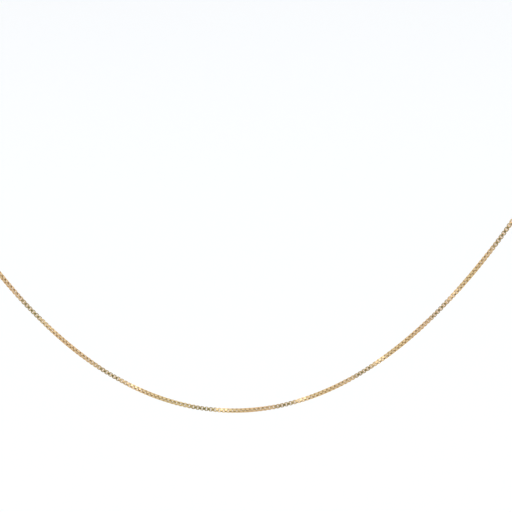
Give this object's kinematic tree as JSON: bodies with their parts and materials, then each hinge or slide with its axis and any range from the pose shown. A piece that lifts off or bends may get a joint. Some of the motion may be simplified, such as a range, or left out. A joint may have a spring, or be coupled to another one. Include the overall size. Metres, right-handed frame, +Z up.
{
  "type": "box chain necklace",
  "caption": "Fine box chain necklace in yellow gold, hanging in a smooth U as worn, closed at the nape by a small spring ring clasp.",
  "frame": {"origin": "on the wearer's neck axis, level with the two points where the front drape ends and the chain starts over the shoulders", "axes": "+X across the wearer, from the left of the picture to its right; -Y to the front, where the chain hangs; +Z up along the neck"},
  "size_m": [0.133, 0.1086, 0.091],
  "materials": {
    "chain_gold": "polished yellow to rose gold",
    "finding_gold": "polished yellow gold"
  },
  "bodies": {
    "root": {"chain": "chain_gold", "left_end_link": "chain_gold", "right_end_link": "chain_gold", "left_jump_ring": "finding_gold", "right_jump_ring": "finding_gold", "clasp": "finding_gold"}
  },
  "joints": []
}
